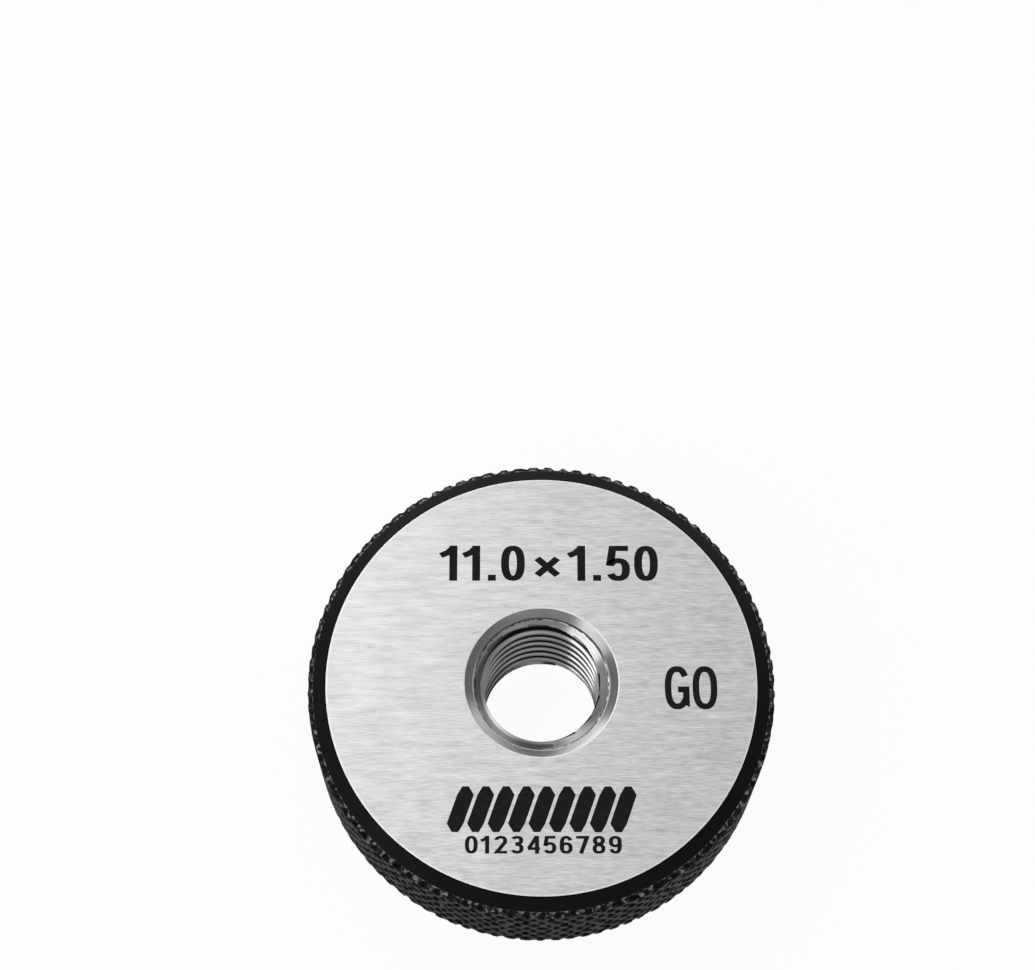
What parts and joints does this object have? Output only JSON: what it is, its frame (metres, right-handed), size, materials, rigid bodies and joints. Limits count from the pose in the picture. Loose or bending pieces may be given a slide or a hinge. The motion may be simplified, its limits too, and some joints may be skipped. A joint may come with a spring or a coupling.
{
  "type": "thread ring gauge",
  "caption": "Knurled steel ring with ground end faces and a countersunk threaded bore, screwed on to a shaft to test its outside thread.",
  "frame": {"origin": "centre of the lower end face, which the ring lies on", "axes": "+Z along the bore's axis, out of the marked end face; +Y towards the top of the marking"},
  "size_m": [0.038, 0.038, 0.012],
  "materials": {
    "gauge_steel": "ground bright on both end faces and in the bore, black oxide on the chamfers and the knurled rim",
    "black_mark": "matt black etched marking on the ground face"
  },
  "bodies": {
    "root": {"ring_gauge": "gauge_steel"}
  },
  "joints": []
}
